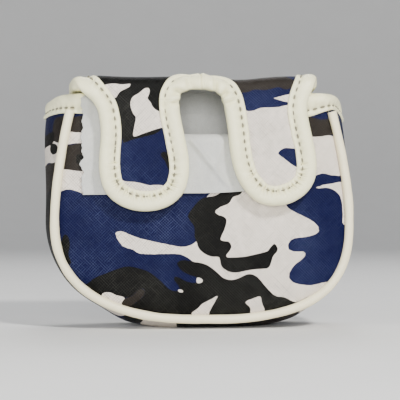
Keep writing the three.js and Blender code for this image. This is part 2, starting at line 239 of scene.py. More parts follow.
class Nodes:
    """A material's node tree, with short ways to add and join nodes."""

    def __init__(self, name):
        self.material = bpy.data.materials.new(name)
        self.material.use_nodes = True
        self.tree = self.material.node_tree
        self.shader = self.tree.nodes["Principled BSDF"]

    def add(self, kind, settings=None, **inputs):
        node = self.tree.nodes.new("ShaderNode" + kind)
        for key, value in (settings or {}).items():
            setattr(node, key, value)
        for key, value in inputs.items():
            self.put(node.inputs[key.replace("_", " ")], value)
        return node

    def put(self, socket, value):
        if isinstance(value, bpy.types.NodeSocket):
            self.tree.links.new(value, socket)
        else:
            socket.default_value = value

    def math(self, operation, *values):
        node = self.tree.nodes.new("ShaderNodeMath")
        node.operation = operation
        for socket, value in zip(node.inputs, values):
            self.put(socket, value)
        return node.outputs[0]

    def fit(self, value, factor, base):
        return self.math("MULTIPLY_ADD", value, factor, base)

    def mix(self, factor, a, b):
        node = self.tree.nodes.new("ShaderNodeMix")
        node.data_type = "RGBA"
        self.put(node.inputs[0], factor)
        self.put(node.inputs[6], a)
        self.put(node.inputs[7], b)
        return node.outputs[2]

    def ramp(self, value, low, high):
        node = self.add("MapRange", {"clamp": True}, Value=value, From_Min=low, From_Max=high)
        return node.outputs[0]

    def noise(self, scale, detail=2.0, roughness=0.5):
        node = self.add("TexNoise", Scale=scale, Detail=detail, Roughness=roughness)
        self.put(node.inputs["Vector"], self.add("TexCoord").outputs["Object"])
        return node.outputs["Fac"]

    def bump(self, height, distance, strength=1.0, normal=None):
        node = self.add("Bump", Height=height, Distance=distance, Strength=strength)
        if normal is not None:
            self.put(node.inputs["Normal"], normal)
        return node.outputs["Normal"]

    def shade(self, colour, value):
        return self.add("HueSaturation", Color=colour, Value=value).outputs[0]

    def set(self, **values):
        for key, value in values.items():
            self.put(self.shader.inputs[key.replace("_", " ")], value)


def cross_hatch(n, pitch):
    """Fine diagonal threads embossed both ways over the layout, each coming and going; pitch in mm."""
    uv = n.add("TexCoord").outputs["UV"]
    part = n.add("SeparateXYZ", Vector=uv)
    to_mm = UV_MM / math.sqrt(2)
    rise = n.math("MULTIPLY", n.math("ADD", part.outputs[0], part.outputs[1]), to_mm)
    fall = n.math("MULTIPLY", n.math("SUBTRACT", part.outputs[0], part.outputs[1]), to_mm)
    threads = []
    for across, along, seed in ((rise, fall, 0.0), (fall, rise, 40.0)):
        bent = n.add("TexNoise", Scale=0.05, Detail=1.0)
        n.put(bent.inputs["Vector"], n.add("CombineXYZ", X=across, Y=along, Z=seed).outputs[0])
        turns = n.fit(across, math.pi / pitch, n.math("MULTIPLY", bent.outputs["Fac"], 3.0))
        crest = n.math("POWER", n.math("ABSOLUTE", n.math("COSINE", turns)), 5.0)
        spell = n.add("TexNoise", Scale=1.0, Detail=2.0)
        place = n.add("CombineXYZ", X=n.math("DIVIDE", across, 1.3), Y=n.math("DIVIDE", along, 5.0), Z=seed)
        n.put(spell.inputs["Vector"], place.outputs[0])
        threads.append(n.math("MULTIPLY", crest, n.ramp(spell.outputs["Fac"], 0.28, 0.66)))
    return n.math("MAXIMUM", *threads)


BLUE = (2, 5, 46)
WHITE = (232, 222, 210)
BROWN = (35, 30, 27)
BLACK = (4, 4, 4)
# The grain's threads in colour: painted glints over blue and the dark colours, painted shade in the grooves
# over white.
BLUE_GLINT = (104, 114, 154)
WHITE_GROOVE_SHADE = (96, 91, 84)
DARK_GLINT = (96, 96, 90)  # painted glints on the grain's crests, over black and brown
HOLLOW_SHADE_TONE = 0.9  # how light the painted shade leaves the tape in its hollows
HOOKS_PER_M = 2200.0  # radians of the hook rows for each metre


def camouflage_leather():
    n = Nodes("camouflage_leather")
    edge = n.fit(n.noise(900.0, 3.0), 0.4, -0.2)
    colour = linear(BLUE)
    inside = {}
    for field, tint in (("white", WHITE), ("brown", BROWN), ("black", BLACK)):
        value = n.add("Attribute", {"attribute_name": field}).outputs["Fac"]
        inside[field] = n.ramp(n.math("ADD", value, edge), -0.06, 0.06)
        colour = n.mix(inside[field], colour, linear(tint))
    threads = cross_hatch(n, 1.0)
    mottle = n.noise(160.0, 4.0)
    shade = n.shade(colour, n.fit(mottle, 0.36, 0.82))
    dark = n.math("MAXIMUM", inside["black"], inside["brown"])
    pale = n.math("MULTIPLY", inside["white"], n.math("SUBTRACT", 1.0, dark))
    thread_light_colour = n.mix(pale, linear(BLUE_GLINT), linear(WHITE_GROOVE_SHADE))
    thread_light_colour = n.mix(dark, thread_light_colour, linear(DARK_GLINT))
    # Painted light on the grain: glints in some zones on the dark colours, groove shade on white.
    glint_zone = n.fit(n.ramp(n.noise(38.0, 1.0), 0.4, 0.7), 0.2, 0.08)
    painted_thread_light = n.math("MULTIPLY", threads, n.fit(pale, 0.42, glint_zone))
    lit = n.mix(painted_thread_light, shade, thread_light_colour)
    fine = n.bump(n.noise(2600.0, 3.0), 0.00005)
    n.set(
        Base_Color=lit,
        Roughness=n.fit(n.noise(300.0), 0.2, 0.4),
        Normal=n.bump(threads, 0.00014, 0.8, fine),
    )
    n.set(Specular_IOR_Level=0.07)
    return n.material


def smooth_tape(name, colour, roughness):
    """Soft synthetic leather tape: faint creases, a fine pore grain and painted shade in the hollows."""
    n = Nodes(name)
    creases = n.noise(420.0, 5.0, 0.6)
    tone = n.fit(n.noise(90.0, 3.0), 0.12, 0.94)
    # Painted shade: the tape darkens where its surface is hollow.
    hollows = n.add("NewGeometry").outputs["Pointiness"]
    shade = n.shade(linear(colour), tone)
    hollow_shade = n.mix(n.ramp(hollows, 0.44, 0.5), linear([c * HOLLOW_SHADE_TONE for c in colour]), shade)
    pores = n.bump(n.noise(3200.0, 2.0), 0.00004)
    n.set(
        Base_Color=hollow_shade,
        Roughness=n.fit(n.noise(240.0), 0.16, roughness),
        Normal=n.bump(creases, 0.00018, 0.6, pores),
    )
    n.set(Specular_IOR_Level=0.5)
    return n.material


def pile_fabric(name, colour, depth=0.0005):
    """Short brushed pile: a matted, fuzzy surface with a sheen."""
    n = Nodes(name)
    tufts = n.noise(1500.0, 6.0, 0.72)
    matted = n.noise(230.0, 4.0, 0.6)
    tone = n.fit(tufts, 0.3, n.fit(matted, 0.24, 0.74))
    shade = n.shade(linear(colour), tone)
    relief = n.bump(tufts, depth, 0.7, n.bump(matted, depth, 0.8))
    n.set(Base_Color=shade, Roughness=0.95, Normal=relief)
    n.set(Specular_IOR_Level=0.15, Sheen_Weight=0.35, Sheen_Roughness=0.6)
    return n.material


def hook_tape(name, colour):
    n = Nodes(name)
    part = n.add("SeparateXYZ", Vector=n.add("TexCoord").outputs["Object"])
    rows = n.math("ABSOLUTE", n.math("SINE", n.math("MULTIPLY", part.outputs[2], HOOKS_PER_M)))
    posts = n.math("ABSOLUTE", n.math("SINE", n.math("MULTIPLY", part.outputs[0], HOOKS_PER_M)))
    hooks = n.math("MULTIPLY", rows, posts)
    shade = n.shade(linear(colour), n.fit(hooks, 0.5, 0.6))
    n.set(Base_Color=shade, Roughness=0.5, Normal=n.bump(hooks, 0.0008))
    return n.material


def foam(name, colour):
    n = Nodes(name)
    cells = n.add("TexVoronoi", Scale=1400.0)
    n.put(cells.inputs["Vector"], n.add("TexCoord").outputs["Object"])
    shade = n.shade(linear(colour), n.fit(cells.outputs[0], 0.5, 0.7))
    n.set(Base_Color=shade, Roughness=0.95, Normal=n.bump(cells.outputs[0], 0.0003))
    return n.material


def twisted_yarn(name, colour, pitch=0.0016):
    n = Nodes(name)
    part = n.add("SeparateXYZ", Vector=n.add("TexCoord").outputs["Object"])
    along = n.math("ADD", n.math("ADD", part.outputs[0], part.outputs[1]), part.outputs[2])
    ply = n.math("ABSOLUTE", n.math("SINE", n.math("MULTIPLY", along, math.pi / pitch)))
    shade = n.shade(linear(colour), n.fit(ply, 0.3, 0.75))
    relief = n.bump(ply, 0.0002, 0.8, n.bump(n.noise(4000.0), 0.00005))
    n.set(Base_Color=shade, Roughness=0.7, Normal=relief)
    n.set(Sheen_Weight=0.2)
    return n.material


CAMO = camouflage_leather()
TAPE = smooth_tape("binding_tape", (251, 247, 204), 0.34)
PIPE = smooth_tape("piping_tape", (250, 240, 204), 0.36)
LOOP = pile_fabric("loop_tape", (195, 196, 193))
LINING = pile_fabric("brushed_lining", (226, 227, 223), 0.0003)
HOOK = hook_tape("hook_tape", (214, 214, 210))
FOAM = foam("foam", (150, 150, 146))
# The thread is cream; its colour is darkened here as painted shade of the dents it sinks into.
SHADED_YARN = twisted_yarn("stitching_thread", (128, 124, 104), 0.0006)
CORD = twisted_yarn("filler_cord", (216, 212, 198))

# ---- Camouflage ----
# Each colour is a field over the fabric: how far inside the colour's patches a point is, in mm. White lies
# over blue, brown over white and black over brown; a hole in a patch lets the colour below it show.

DEEP = 20.0  # the fields are cut off at this many mm
BODY_SEED = 40  # the flap runs on into the back panel, so they share their scattered patches
GUSSET_SEED = 71


def inside_distance(points, outline, samples=140):
    """Signed distance from points, n x 2, to a smooth closed outline; positive inside."""
    edge = spline(outline, samples, closed=True)
    a = edge[:-1]
    b = edge[1:]
    best = np.full(len(points), 1e9)
    crossings = np.zeros(len(points), int)
    for (ax, ay), (bx, by) in zip(a, b):
        dx, dy = bx - ax, by - ay
        ahead = (points[:, 0] - ax) * dx + (points[:, 1] - ay) * dy
        t = np.clip(ahead / max(dx * dx + dy * dy, 1e-12), 0, 1)
        best = np.minimum(best, np.hypot(points[:, 0] - ax - t * dx, points[:, 1] - ay - t * dy))
        spans = (ay > points[:, 1]) != (by > points[:, 1])
        if abs(dy) > 1e-12:
            crossings += spans & (points[:, 0] < ax + (points[:, 1] - ay) * dx / dy)
    return np.where(crossings % 2 == 1, best, -best)


def paint(points, patches, holes):
    """Fields for patches and the holes in them, both {colour: outlines}."""
    fields = {}
    for colour, outlines in patches.items():
        value = np.full(len(points), -DEEP)
        for outline in outlines:
            value = np.maximum(value, inside_distance(points, outline))
        for hole in holes.get(colour, []):
            value = np.minimum(value, -inside_distance(points, hole))
        fields[colour] = np.clip(value, -DEEP, DEEP)
    return fields


def scattered(u, v, seed):
    """Fields of an even scatter of patches, for the sides that have no set ones."""
    bend_u = u + 9 * ripple(u, v, seed=seed, scale=17)
    bend_v = v + 5 * ripple(u, v, seed=seed + 1, scale=13)
    fields = {}
    for k, (colour, level) in enumerate((("white", 0.42), ("brown", 0.95), ("black", 0.7))):
        value = ripple(bend_u / 2.1, bend_v, seed=seed + 2 + k, scale=7.5, waves=12) - level
        fields[colour] = np.clip(value * 6, -DEEP, DEEP)
    return fields


# Patches of the front panel, over (x, z).
CENTRE_BLOB = [
    (18.7, 63), (17.2, 64.5), (12.1, 64.5), (6.1, 60.8), (2, 60), (-1, 59), (-4, 56), (-7, 51.5), (-6, 49),
    (-4, 46), (-4, 42), (-3, 39), (-1.5, 35.5), (2, 33), (5, 32.2), (7.6, 32), (8.6, 27.8), (12.1, 25.3),
    (16.2, 24.9), (21.2, 25.9), (25.3, 26.4), (30.4, 26.8), (31.9, 28.8), (32.9, 32.2), (35.2, 35.4),
    (33.9, 38.2), (32.4, 37.4), (30.4, 34.9), (28.3, 34.2), (20.2, 32.4), (15.1, 32), (10.6, 32.3),
    (13.1, 35.9), (12.9, 38.5), (11.6, 39.5), (8.1, 40), (10.1, 45), (11.1, 49), (10.1, 50.7), (7.1, 51.8),
    (5.5, 53.3), (8.1, 55.3), (12.1, 57), (14.1, 60), (17.2, 61),
]
LOWER_BLACK = [
    (-61.8, 12.5), (-52.9, 20.3), (-49.9, 22.8), (-45, 24.7), (-40, 26.7), (-35, 28), (-30, 27.1),
    (-25.1, 25.4), (-20.1, 21.6), (-15.1, 16.9), (-11.5, 16.6), (-10.5, 17.6), (-11.5, 19.1), (-13.6, 21.6),
    (-14.1, 22.6), (-12.1, 23.4), (-10, 22.1), (-7, 20.7), (-3.6, 20.1), (-2, 21.4), (-3, 22.8), (-6, 23.8),
    (-9.5, 25.5), (-12.1, 28.6), (-12.4, 29.5), (-11, 30.5), (-8, 30.8), (-5, 30), (-2, 29.7), (2, 28.5),
    (6.1, 25.5), (9.1, 22.7), (13.1, 21.4), (17.2, 22.4), (20.2, 23.9), (23.3, 24.1), (26.3, 22),
    (30.4, 17.3), (34.4, 13.7), (38.5, 13.2), (43.6, 10.7), (46.7, 11.6), (49.2, 13.1), (52.8, 12.1),
    (56.9, 3.5), (40.5, -6.4), (0, -8), (-40, -3.6),
]
BASE_WHITES = [
    [
        (-46.5, 15.3), (-43, 16), (-40, 14.6), (-37, 14), (-36.2, 12.8), (-37.2, 10.6), (-40, 8.3),
        (-46, 11.3),
    ],
    [(-11.6, 16.4), (-10.8, 17.3), (-8.8, 16.3), (-10, 15.7)],
    [(-5, 5.5), (-2, 8.5), (0, 10.5), (4, 12.5), (7.1, 14.2), (5, 10), (3.5, 7), (2, 4)],
    [
        (20.2, 11), (23.3, 12.5), (27, 13.6), (27.8, 10.8), (29.3, 6.1), (25.3, 2.8), (22.7, 5.8),
        (22.5, 8.3),
    ],
    [(-2.7, 22.6), (-0.6, 22.1), (0, 21), (-1, 20.2), (-2.8, 20.2)],
]
CAPSULE = [
    (-37.5, 10.3), (-36.2, 13), (-33, 14.2), (-30, 17), (-28.1, 17.7), (-26.9, 16.2), (-28.1, 13.7),
    (-31, 11.2), (-34, 9.3),
]
CENTRE_WHITE = [
    (-40.6, 43.5), (-38, 44.4), (-35, 43.1), (-30, 41.1), (-25.1, 39.9), (-18.1, 38.4), (-12.1, 37.2),
    (-8, 37), (-3, 39.5), (0, 46), (0, 56), (5, 63), (20.2, 70), (34.4, 68.1), (38.5, 60), (39, 56),
    (42.6, 53.3), (47.7, 50.9), (51.8, 48.7), (54.3, 46.4), (54.9, 43.9), (52.8, 42.4), (47.7, 41.2),
    (43.6, 40.9), (41.1, 39.7), (39.8, 37.4), (40.5, 35.3), (43.6, 34.5), (48.2, 34.5), (48.7, 33.3),
    (46.7, 30.8), (43.1, 28.1), (41.1, 25.3), (40.5, 22.8), (41.6, 20.7), (44.6, 19.4), (50.8, 18.6),
    (55.9, 19.6), (59, 20.1), (64.1, 18.6), (65.1, 11.5), (50.8, 5.6), (30.4, 3.7), (0, 12), (-2, 27),
    (-6, 31), (-9, 33), (-12.1, 33.7), (-25.1, 33.6), (-30, 34.1), (-33, 36.1), (-35, 36.4), (-37, 37.1),
    (-39, 39.6), (-40.5, 42.1),
]
FRONT_PATCHES = {
    "white": [
        CENTRE_WHITE,
        *BASE_WHITES,
        [
            (-79.5, 72.3), (-65.7, 72.8), (-55.9, 71.9), (-47.9, 72.9), (-46, 63.5), (-52.9, 61),
            (-57.8, 62.5), (-61.8, 63.5), (-65.7, 62.5), (-75.6, 58),
        ],
        [
            (-79.5, 89.6), (-63.8, 90.5), (-55.9, 89.7), (-47.9, 90.8), (-47.9, 83.8), (-57.8, 84.8),
            (-65.7, 83.9), (-79.5, 84.7),
        ],
        [
            (47.7, 88.2), (56.9, 89.3), (65.1, 88.3), (81.6, 89.4), (81.6, 71.2), (63.1, 70.1),
            (56.9, 71.1), (47.7, 70.1),
        ],
        [
            (52.8, 64), (55.9, 65.4), (61, 66.3), (67.2, 66.6), (75.4, 60), (75.4, 48.9), (67.2, 46.9),
            (66.5, 51.9), (66.1, 57), (65.1, 60.5), (62.6, 63), (59, 64.3),
        ],
    ],
    "brown": [
        CAPSULE,
        [
            (-79.5, 97), (-63.8, 96.6), (-47.9, 97.7), (-47.9, 90.8), (-57.8, 89.7), (-65.7, 90.7),
            (-79.5, 89.6),
        ],
        [
            (-79.5, 84.2), (-63.8, 83.7), (-55.9, 84.8), (-46, 83.8), (-46, 72.9), (-55.9, 71.9),
            (-65.7, 72.8), (-79.5, 71.8),
        ],
        [
            (47.7, 97.3), (56.9, 96.4), (65.1, 97.9), (81.6, 97.5), (81.6, 88.4), (63.1, 89.3),
            (54.9, 88.3), (47.7, 89.2),
        ],
    ],
    "black": [
        CENTRE_BLOB,
        LOWER_BLACK,
        [(-58, 79.6), (-53.4, 77.6), (-58, 75.2)],
        [
            (-64.3, 42.2), (-62.4, 42.2), (-61.4, 38.2), (-62, 33.3), (-60.8, 29.8), (-62.8, 29.3),
            (-65.7, 36.2),
        ],
    ],
}
FRONT_HOLES = {"black": [CAPSULE, *BASE_WHITES]}

# Patches of the two tongues, over (x, w).
LEFT_WHITES = [
    [
        (-46.3, 110.4), (-42.3, 111.9), (-38.3, 111.7), (-33.8, 112.1), (-34.1, 111), (-36.4, 109.5),
        (-39, 108), (-41.6, 105),
    ],
    [
        (-26.3, 110.3), (-25.3, 109.1), (-25.6, 107.1), (-26.3, 105.1), (-24.9, 103.2), (-23.9, 101.2),
        (-21.4, 99.3), (-15, 97.4), (-15, 91.5), (-19.4, 91.6), (-21.9, 91.1), (-27.8, 89.1), (-32.7, 87.6),
        (-32.5, 91.4), (-31.7, 96.3), (-33, 98.2), (-34.2, 102.1), (-33.2, 105.6), (-30.3, 107.6),
        (-28.3, 109.5),
    ],
]
LEFT_PATCHES = {
    "white": [
        *LEFT_WHITES,
        [
            (-39.6, 67.3), (-36.2, 67.1), (-30.8, 66.6), (-25.8, 65.4), (-18.9, 64.9), (-18.9, 58),
            (-39.6, 58),
        ],
    ],
    "brown": [
        [(-70, 140), (-20, 150), (0, 135), (-10, 128), (-40, 131), (-70, 128)],
    ],
    "black": [
        [
            (-70, 128), (-40, 132), (0, 128), (-1.1, 99.4), (-13, 98.4), (-20.9, 90), (-27.8, 87.5),
            (-33.7, 86), (-37.4, 84.5), (-38.6, 87.4), (-46.4, 89.3), (-69.8, 91.2),
        ],
        [(-20.4, 79.6), (-18, 80.6), (-14, 77.7), (-13, 72.8), (-16.5, 72.3), (-18, 75.7)],
    ],
}
LEFT_HOLES = {"black": LEFT_WHITES}
RIGHT_PATCHES = {
    "white": [
        [
            (-2, 104), (19.5, 99.6), (25.7, 101), (33.4, 101.4), (37, 102.1), (46, 103.4), (58, 100),
            (58, 40), (-2, 40),
        ],
        [(43, 107.6), (38, 107.2), (35, 106.4), (31.5, 105.4), (34.5, 104.7), (37.6, 103.9), (43, 103.6)],
    ],
    "brown": [
        [
            (-2, 134), (22, 140), (33, 124), (38, 117.5), (42, 113.8), (46, 112), (41, 110.6),
            (37.4, 109.6), (34.6, 110.8), (31.6, 110.3), (27.8, 109.6), (22.9, 110.1), (19.4, 108.8),
            (10, 108), (-2, 111),
        ],
    ],
    "black": [],
}
RIGHT_HOLES = {
    "white": [
        [
            (50, 80.4), (42, 82.3), (37.2, 82.6), (34.8, 81.3), (34.1, 80.1), (35.3, 78.9), (38.7, 76.4),
            (43, 73.7), (50, 72.8),
        ],
    ],
}

# Patches of the gusset, over (distance down from the mouth's left corner, y).
GUSSET_PATCHES = {
    "white": [
        [(21, -26), (22, -12), (24, -2), (22, 6), (29, 9), (34, 2), (32, -10), (32, -26)],
        [(102, -26), (103, -12), (108, -8), (116, -8), (120, -14), (121, -26)],
        [(129, -26), (130, -6), (138, 4), (146, -4), (148, -26)],
        [(206, -26), (208, -8), (218, 6), (230, 2), (234, -14), (232, -26)],
    ],
    "brown": [
        [(9, -26), (10, -14), (14, -12), (20, -13), (22, -18), (20, -26)],
        [(32, -26), (33, -8), (35, 6), (44, 10), (50, 0), (46, -12), (45, -26)],
        [(181, -26), (183, -8), (195, 0), (205, -10), (206, -26)],
    ],
    "black": [
        [(17, -13), (19, -2), (15, 6), (20, 12), (25, 4), (24, -8), (22, -14)],
        [(23, -17), (26, -19), (28, -15), (26, -11), (23, -12)],
        [(45, -26), (47, -10), (52, 2), (62, 8), (75, 6), (90, 0), (101, -8), (102, -26)],
        [(121, -26), (121, -12), (125, -6), (129, -10), (129, -26)],
        [(148, -26), (149, -4), (158, 4), (171, 0), (180, -10), (181, -26)],
    ],
}

# ---- The pouch's shape ----

SEAM_HIDE = 1.3  # panels and gusset run in under the piping to this far from the seam line
LINING_INSET = 4.1  # foam and lining end this far from it
GUSSET_LENGTH = 320.0
MOUTH_EDGE = 1.8  # the gusset ends this far under the mouth's height
FRONT_LOOSE = 0.3  # the front lining is tighter than the back one


def by_hand(pair, hand):
    """The left or the right value of a pair, for hands -1 and +1."""
    return np.where(np.asarray(hand) < 0, pair[-1], pair[1])


def rim_width(z, side, hand):
    """Half width of a seam line at height z; side is -1 on the front seam and +1 on the back one."""
    z = np.asarray(z, float)
    power = by_hand(RIM_POWER, hand)
    drop = np.clip((RIM_HEIGHT - z) / (RIM_HEIGHT - RIM_BOTTOM), 0, 1)
    rise = np.maximum(z - RIM_HEIGHT, 0) / (TAPER_AT - RIM_HEIGHT)
    taper = by_hand(TAPER_FRONT, hand) if side < 0 else TAPER_BACK
    return by_hand(RIM_WIDTH, hand) * (1 - drop**power) ** (1 / power) - taper * rise**TAPER_POWER


def rim_half(side, hand, top):
    """The left or right half of the seam line as x, z, from its top to the middle of the base."""
    angle = np.linspace(0, math.pi / 2, 500)
    low = RIM_HEIGHT - (RIM_HEIGHT - RIM_BOTTOM) * np.sin(angle) ** (2 / RIM_POWER[hand])
    z = np.concatenate([np.linspace(top, RIM_HEIGHT, 200, endpoint=False), low])
    return np.stack([hand * rim_width(z, side, hand), z], axis=1)


def rim_line(side, top, count):
    """The seam line: down the left side, along the base and up the right side."""
    return resample(np.vstack([rim_half(side, -1, top)[:-1], rim_half(side, 1, top)[::-1]]), count)


def rim_normals(line):
    tangent = unit(np.gradient(line, axis=0))
    return np.stack([tangent[:, 1], -tangent[:, 0]], axis=1)


# How far the gusset bows out midway between the seams, left and right.
BULGE_MIDDLE = {-1: 4.2, 1: 3.0}
BULGE_MOUTH = {-1: 7.4, 1: 5.2}
BULGE_CORNER = 3.1
BULGE_BASE = 6.2
BASE_HALF = {-1: 48, 1: 60}  # how far from the middle the base's bulge ends
MOUTH_CLOSING = {-1: 2.4, 1: 2.0}  # over the seams the mouth leans in again


def bulge(z, x):
    """How far the gusset bows out at a height on the side of x."""
    up = smooth((z - RIM_HEIGHT) / (SEAM_TOP - RIM_HEIGHT))
    down = smooth((RIM_HEIGHT - z) / 24)
    under = smooth((by_hand(BASE_HALF, x) - np.abs(x)) / 18)
    sides = lerp(by_hand(BULGE_MIDDLE, x), by_hand(BULGE_MOUTH, x), up)
    closing = by_hand(MOUTH_CLOSING, x) * smooth((z - SEAM_TOP) / 10)
    return lerp(sides, lerp(BULGE_CORNER, BULGE_BASE, under), down) - closing


def crown(x, z, side):
    """How far a padded panel stands out from its seam plane. The back one is flat where the flap begins."""
    across = 1 - np.clip(np.abs(x) / rim_width(np.maximum(z, RIM_BOTTOM + 1), side, np.sign(x)), 0, 1) ** 3
    up = 1 - np.clip((RIM_HEIGHT - z) / (RIM_HEIGHT - RIM_BOTTOM), 0, 1) ** 3
    most = CROWN_FRONT if side < 0 else CROWN_BACK * (1 - smooth((z - SCOOP_FROM) / (SEAM_TOP - SCOOP_FROM)))
    return most * across * up


def scoop(x):
    """Height of the front panel's mouth edge."""
    return lerp(SCOOP_BOTTOM, MOUTH_HEIGHT, smooth((np.abs(x) - SCOOP_INNER) / (SCOOP_OUTER - SCOOP_INNER)))


def rim_distance(x, z, side):
    """Distance in from the seam line, good enough within a few mm of it."""
    line = rim_line(side, 125.0, 260)
    gap = np.full(np.shape(x), 1e9)
    for px, pz in line:
        gap = np.minimum(gap, np.hypot(x - px, z - pz))
    return gap


def panel_face(x, z, side):
    """Height of a panel's outer face over its seam plane: crowned, pulled in at the seam and uneven."""
    gap = rim_distance(x, z, side)
    pulled = 1.1 * np.exp(-((gap - SEAM_HIDE) / 1.9).clip(0))
    uneven = 0.28 * ripple(x, z, seed=5 + side, scale=16) * smooth(gap / 12)
    puckers = 0.1 * np.cos(2 * math.pi * (x + z) / 7.5) * np.exp(-gap / 5.0)
    return crown(x, z, side) - pulled + uneven + puckers


def panel(name, side, top, inset, depths, material, columns, count, paint_with=None, bend=None):
    """One layer of the front or back panel, between two depths below its outer face."""
    edges = {}
    for hand in (-1, 1):
        half = rim_half(side, hand, top + 5)
        edges[hand] = half - rim_normals(half[::hand * -1])[::hand * -1] * inset
    rows = resample(edges[1][edges[1][:, 1] <= top], count)[:, 1]
    rows[0] = top
    ends = [np.interp(rows, edges[hand][::-1, 1], edges[hand][::-1, 0]) for hand in (-1, 1)]
    ends = [np.where(rows <= edges[1][-1, 1] + 1e-6, 0.0, end) for end in ends]
    x = lerp(ends[0][:, None], ends[1][:, None], np.linspace(0, 1, columns))
    z = np.repeat(rows[:, None], columns, axis=1)
    if bend:
        z = bend(x, z)
    face = panel_face(x, z, side) + TUCK_DEPTH * smooth((z - NECK_Z) / TUCK) * (side > 0)
    loose = 0.0
    if material is LINING:
        loose = lining_folds(x) * (FRONT_LOOSE if side < 0 else 1.0)
    grids = [np.stack([x, side * (HALF_DEPTH + face - depth - loose), z], axis=-1) for depth in depths]
    w = z if side < 0 else NECK_W + NECK_Z - z
    uv = np.stack([x, w], axis=-1)
    fields = paint_with(uv.reshape(-1, 2)) if paint_with else None
    return thick_sheet(name, *grids, material, uv, fields)


def lining_folds(x):
    """Upright folds of the lining, which is looser than the panels: how far it stands in from them."""
    return (1.5 + 1.2 * ripple(x, seed=33, scale=4.0)) * smooth((60 - np.abs(x)) / 12)


def bend_to_scoop(x, z):
    """The front panel's rows, bent down towards its mouth edge."""
    share = (z - SCOOP_FROM) / (MOUTH_HEIGHT - SCOOP_FROM)
    return np.where(z > SCOOP_FROM, lerp(SCOOP_FROM, scoop(x) - 1.2, share), z)


def gusset(name, inset, depths, material, painted, count=420, strips=33):
    """One layer of the gusset, between two depths below its outer face."""
    front = rim_line(-1, MOUTH_HEIGHT - MOUTH_EDGE, count)
    normals = rim_normals(front)
    hand = np.sign(front[:, 0])
    rise = np.maximum(front[:, 1] - RIM_HEIGHT, 0) / (TAPER_AT - RIM_HEIGHT)
    back_x = front[:, 0] + hand * (by_hand(TAPER_FRONT, hand) - TAPER_BACK) * rise**TAPER_POWER
    reach = 1 - inset / HALF_DEPTH
    across = np.linspace(-reach, reach, strips)[None]
    along = np.arange(count)[:, None] * GUSSET_LENGTH / count
    swell = bulge(front[:, 1], front[:, 0])[:, None] * (1 - across**2)
    swell = swell + 0.3 * ripple(along, 22 * across, seed=31, scale=13) * (1 - across**4)
    swell = swell - 0.9 * np.exp(-(1 - np.abs(across)) * HALF_DEPTH / 1.9)
    sag = mouth_sag(across, front[:, :1], front[:, 1:])
    grids = []
    for depth in depths:
        out = swell - depth
        x = lerp(front[:, :1], back_x[:, None], (across + 1) / 2) + normals[:, :1] * out
        z = front[:, 1:] + normals[:, 1:] * out - sag
        y = np.broadcast_to(across * HALF_DEPTH, x.shape)
        grids.append(np.stack([x, y, np.maximum(z, depth - LIFT)], axis=-1))
    uv = np.stack(np.broadcast_arrays(along, across * HALF_DEPTH), axis=-1)
    fields = gusset_paint(uv.reshape(-1, 2)) if painted else None
    return thick_sheet(name, *grids, material, uv, fields)


def gusset_paint(points):
    """The set patches along the front edge, and scattered ones towards the back and the right."""
    along, y = points.T
    near = paint(points, GUSSET_PATCHES, {})
    loose = scattered(along, y, GUSSET_SEED)
    share = np.maximum(smooth((y - 2) / 12), smooth((along - 232) / 12))
    return {key: np.maximum(near[key], loose[key] - 14 * (1 - share)) for key in loose}


MOUTH_SAG = {-1: 1.5, 1: 2.8}
BACK_SAG = 1.2
SAG_FROM = 92  # the gusset below this doesn't sag


def mouth_sag(across, x, z):
    """How far the gusset's top hangs below its front corner; across is -1 in front and 1 at the back."""
    sag = by_hand(MOUTH_SAG, x) * hump(across - 0.1, 0.55) + BACK_SAG * smooth((across + 1) / 2)
    return sag * smooth((z - SAG_FROM) / 12)


# ---- The flap's shape ----
# The flap is laid out flat as (x, w), and flap_point folds it: up the tongues, back over the mouth and down
# the neck.

FOLD_R = 5.0
TONGUE_Y = -31.8
TOP_Z = 115.8
NECK_Y = HALF_DEPTH
FRONT_BEND = TOP_Z - FOLD_R
TOP_START = FRONT_BEND + FOLD_R * math.pi / 2
TOP_END = TOP_START + (NECK_Y - TONGUE_Y) - 2 * FOLD_R
NECK_START = TOP_END + FOLD_R * math.pi / 2
NECK_Z = 99.5
NECK_W = NECK_START + (TOP_Z - FOLD_R - NECK_Z)
SPLIT_W = TOP_START + 0.5  # tongue pieces end here, just behind the front fold


def flap_point(x, w, h):
    """The folded place of a point of the layout, h above the fabric's outer face."""
    x, w, h = np.broadcast_arrays(x, w, h)
    turn_front = np.clip((w - FRONT_BEND) / FOLD_R, 0, math.pi / 2)
    turn_back = np.clip((w - TOP_END) / FOLD_R, 0, math.pi / 2)
    turn = turn_front + turn_back
    y = TONGUE_Y + FOLD_R * (1 - np.cos(turn_front)) + np.clip(w - TOP_START, 0, TOP_END - TOP_START)
    y = y + FOLD_R * np.sin(turn_back)
    z = np.minimum(w, FRONT_BEND) + FOLD_R * np.sin(turn_front) - FOLD_R * (1 - np.cos(turn_back))
    z = z - np.maximum(w - NECK_START, 0)
    top = smooth((w - FRONT_BEND + 8) / 12) * smooth((NECK_START - w) / 14)
    # The top dips in two places, and more at its side edges.
    sag = 1.3 * hump(x - 17, 13) + 0.5 * hump(x + 30, 16)
    sag = sag + 2.2 * smooth((-48 - x) / 8) + 0.6 * smooth((x - 42) / 8)
    settle = 0.35 * ripple(x, w, seed=8, scale=15)
    h = h + settle * smooth((w - 62) / 20) * smooth((NECK_START + 8 - w) / 20)
    h = h + TUCK_DEPTH * smooth((w - NECK_W) / TUCK)
    press = 1.0 * smooth((80 - w) / 26)  # the tongues' tips lean back against the loop patch
    return np.stack([x, y - np.cos(turn) * h + press, z + np.sin(turn) * h - sag * top], axis=-1)


